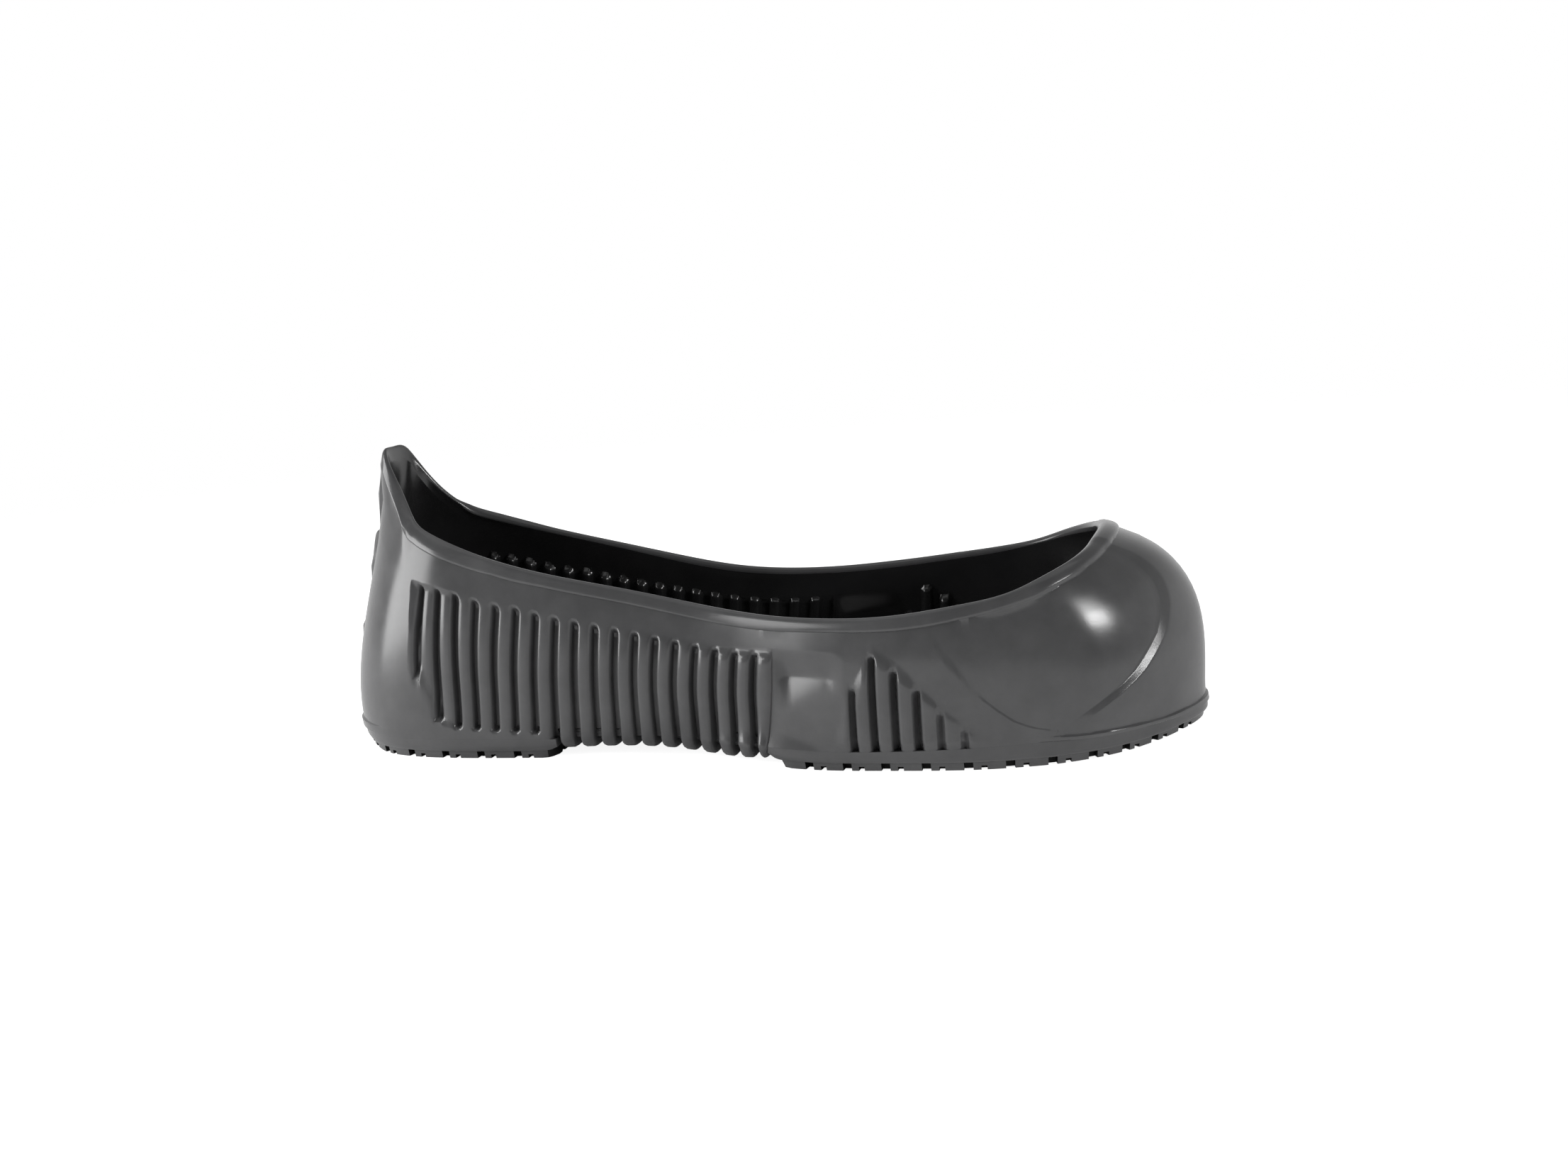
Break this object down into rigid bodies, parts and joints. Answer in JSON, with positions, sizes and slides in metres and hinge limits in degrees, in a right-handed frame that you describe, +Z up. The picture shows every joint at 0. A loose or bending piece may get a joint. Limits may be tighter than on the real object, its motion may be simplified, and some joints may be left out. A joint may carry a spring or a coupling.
{
  "type": "overshoe",
  "caption": "Pull-on grey rubber overshoe with an open collar, heel tab, ribbed stretch sides, domed toe bumper and lugged anti-slip heel and forefoot soles.",
  "frame": {"origin": "middle of the shoe's length and width, on the floor under the tread", "axes": "+X towards the toe, +Y towards the wearer's left, +Z up"},
  "size_m": [0.297, 0.1098, 0.1045],
  "materials": {
    "upper_rubber": "semi-gloss moulded grey rubber with a fine grain",
    "sole_rubber": "satin moulded grey rubber"
  },
  "bodies": {
    "root": {"upper": "upper_rubber", "forefoot_sole": "sole_rubber", "heel_sole": "sole_rubber"}
  },
  "joints": []
}
